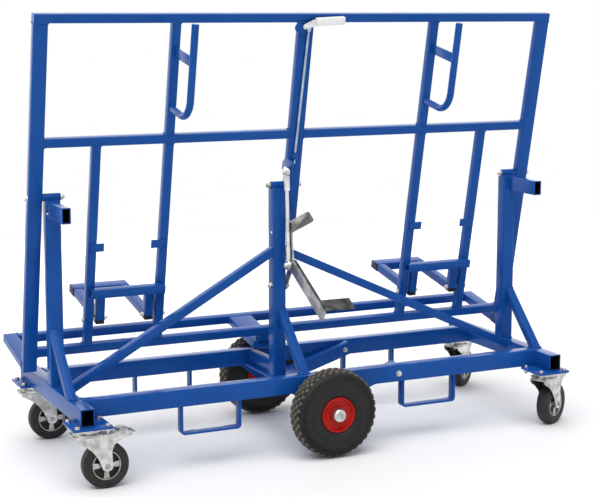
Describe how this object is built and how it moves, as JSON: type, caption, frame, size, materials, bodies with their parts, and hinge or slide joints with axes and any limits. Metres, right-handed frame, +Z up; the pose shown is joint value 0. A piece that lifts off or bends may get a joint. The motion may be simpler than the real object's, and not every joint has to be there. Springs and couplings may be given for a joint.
{
  "type": "sheet goods cart",
  "caption": "Workshop cart for sheet goods: leaning tube frame with ledge, fold-out shelf brackets and hooks that tips level on a wheeled chassis with swivel casters and a centre axle.",
  "frame": {"origin": "on the floor under the middle of the cart", "axes": "+X along the cart, -Y towards the operator's side, +Z up"},
  "size_m": [1.6727, 0.6606, 1.2794],
  "materials": {
    "blue_paint": "gloss powder coat",
    "zinc": "bright zinc plate",
    "chrome": "bright plated steel",
    "rubber": "matt black rubber",
    "caster_rubber": "black tread on a grey centre",
    "rim": "gloss red",
    "grip": "light grey sleeve"
  },
  "bodies": {
    "chassis": {"front_rail": "blue_paint", "rear_rail": "blue_paint", "left_end_beam": "blue_paint", "right_end_beam": "blue_paint", "centre_beam": "blue_paint", "left_post": "blue_paint", "centre_post": "blue_paint", "right_post": "blue_paint", "left_diagonal": "blue_paint", "right_diagonal": "blue_paint", "front_left_fork_loop": "blue_paint", "front_right_fork_loop": "blue_paint", "rear_left_fork_loop": "blue_paint", "rear_right_fork_loop": "blue_paint", "wheel_carrier": "blue_paint", "left_hinge_bolt": "zinc", "right_hinge_bolt": "zinc", "centre_hinge_bolt": "zinc", "pedal_pivot_bolt": "zinc"},
    "tipping_frame": {"top_rail": "blue_paint", "left_upright": "blue_paint", "right_upright": "blue_paint", "centre_upright": "blue_paint", "left_mid_rail": "blue_paint", "right_mid_rail": "blue_paint", "bottom_rail": "blue_paint", "ledge_rail": "blue_paint", "left_upper_bar": "blue_paint", "right_upper_bar": "blue_paint", "left_inner_bar": "blue_paint", "right_inner_bar": "blue_paint", "left_outer_bar": "blue_paint", "right_outer_bar": "blue_paint", "left_ledge_end": "blue_paint", "right_ledge_end": "blue_paint", "ledge_centre": "blue_paint", "left_hook": "blue_paint", "right_hook": "blue_paint"},
    "left_shelf": {"left_shelf": "blue_paint"},
    "right_shelf": {"right_shelf": "blue_paint"},
    "hand_lever": {"hand_lever": "chrome", "lever_grip": "grip"},
    "latch_rod": {"latch_rod": "chrome"},
    "foot_pedal": {"foot_pedal": "chrome"},
    "link": {"link_rod": "chrome"},
    "front_wheel": {"front_wheel_tyre": "rubber", "front_wheel_rim": "rim"},
    "rear_wheel": {"rear_wheel_tyre": "rubber", "rear_wheel_rim": "rim"},
    "front_left_fork": {"front_left_caster_fork": "zinc"},
    "front_left_caster_wheel": {"front_left_caster_wheel": "caster_rubber"},
    "front_left_brake": {"front_left_brake_pedal": "zinc"},
    "rear_left_fork": {"rear_left_caster_fork": "zinc"},
    "rear_left_caster_wheel": {"rear_left_caster_wheel": "caster_rubber"},
    "rear_left_brake": {"rear_left_brake_pedal": "zinc"},
    "front_right_fork": {"front_right_caster_fork": "zinc"},
    "front_right_caster_wheel": {"front_right_caster_wheel": "caster_rubber"},
    "rear_right_fork": {"rear_right_caster_fork": "zinc"},
    "rear_right_caster_wheel": {"rear_right_caster_wheel": "caster_rubber"}
  },
  "joints": [
    {"name": "frame_tilt", "type": "hinge", "parent": "chassis", "child": "tipping_frame", "pos_m": [0, -0.008, 0.771], "axis": [1, 0, 0], "range_deg": [0, 75]},
    {"name": "front_wheel_spin", "type": "hinge", "parent": "chassis", "child": "front_wheel", "pos_m": [0, -0.268, 0.13], "axis": [0, 1, 0], "continuous": true},
    {"name": "rear_wheel_spin", "type": "hinge", "parent": "chassis", "child": "rear_wheel", "pos_m": [0, 0.268, 0.13], "axis": [0, 1, 0], "continuous": true},
    {"name": "left_shelf_fold", "type": "hinge", "parent": "tipping_frame", "child": "left_shelf", "pos_m": [-0.521, 0.06906, 0.3989], "axis": [1, 0, 0], "range_deg": [0, 40]},
    {"name": "right_shelf_fold", "type": "hinge", "parent": "tipping_frame", "child": "right_shelf", "pos_m": [0.521, 0.06906, 0.3989], "axis": [1, 0, 0], "range_deg": [0, 40]},
    {"name": "lever_lift", "type": "hinge", "parent": "tipping_frame", "child": "hand_lever", "pos_m": [-0.028, -0.13239, 1.23849], "axis": [0, -0.9792, -0.2028], "range_deg": [0, 25]},
    {"name": "latch_slide", "type": "slide", "parent": "tipping_frame", "child": "latch_rod", "axis": [0, -0.2028, 0.9792], "range_m": [0, 0.0105]},
    {"name": "pedal_turn", "type": "hinge", "parent": "chassis", "child": "foot_pedal", "pos_m": [-0.035, -0.012, 0.468], "axis": [1, 0, 0], "range_deg": [0, 57]},
    {"name": "link_turn", "type": "hinge", "parent": "foot_pedal", "child": "link", "pos_m": [-0.047, -0.06, 0.535], "axis": [1, 0, 0], "range_deg": [-61, 0]},
    {"name": "front_left_swivel", "type": "hinge", "parent": "chassis", "child": "front_left_fork", "pos_m": [-0.74, -0.264, 0.17], "axis": [0, 0, 1], "continuous": true},
    {"name": "front_left_caster_spin", "type": "hinge", "parent": "front_left_fork", "child": "front_left_caster_wheel", "pos_m": [-0.694, -0.264, 0.065], "axis": [0, 1, 0], "continuous": true},
    {"name": "front_left_brake_press", "type": "hinge", "parent": "front_left_fork", "child": "front_left_brake", "pos_m": [-0.666, -0.264, 0.1627], "axis": [0, 1, 0], "range_deg": [0, 8]},
    {"name": "rear_left_swivel", "type": "hinge", "parent": "chassis", "child": "rear_left_fork", "pos_m": [-0.74, 0.264, 0.17], "axis": [0, 0, 1], "continuous": true},
    {"name": "rear_left_caster_spin", "type": "hinge", "parent": "rear_left_fork", "child": "rear_left_caster_wheel", "pos_m": [-0.694, 0.264, 0.065], "axis": [0, 1, 0], "continuous": true},
    {"name": "rear_left_brake_press", "type": "hinge", "parent": "rear_left_fork", "child": "rear_left_brake", "pos_m": [-0.666, 0.264, 0.1627], "axis": [0, 1, 0], "range_deg": [0, 8]},
    {"name": "front_right_swivel", "type": "hinge", "parent": "chassis", "child": "front_right_fork", "pos_m": [0.74, -0.264, 0.17], "axis": [0, 0, 1], "continuous": true},
    {"name": "front_right_caster_spin", "type": "hinge", "parent": "front_right_fork", "child": "front_right_caster_wheel", "pos_m": [0.78062, -0.2424, 0.065], "axis": [-0.4695, 0.8829, 0], "continuous": true},
    {"name": "rear_right_swivel", "type": "hinge", "parent": "chassis", "child": "rear_right_fork", "pos_m": [0.74, 0.264, 0.17], "axis": [0, 0, 1], "continuous": true},
    {"name": "rear_right_caster_spin", "type": "hinge", "parent": "rear_right_fork", "child": "rear_right_caster_wheel", "pos_m": [0.77721, 0.29104, 0.065], "axis": [-0.5878, 0.809, 0], "continuous": true}
  ],
  "couplings": [
    {"joint": "pedal_turn", "follows": "frame_tilt", "ratio": 0.749},
    {"joint": "link_turn", "follows": "frame_tilt", "ratio": -0.805},
    {"joint": "latch_slide", "follows": "lever_lift", "m_per_rad": 0.0213}
  ]
}
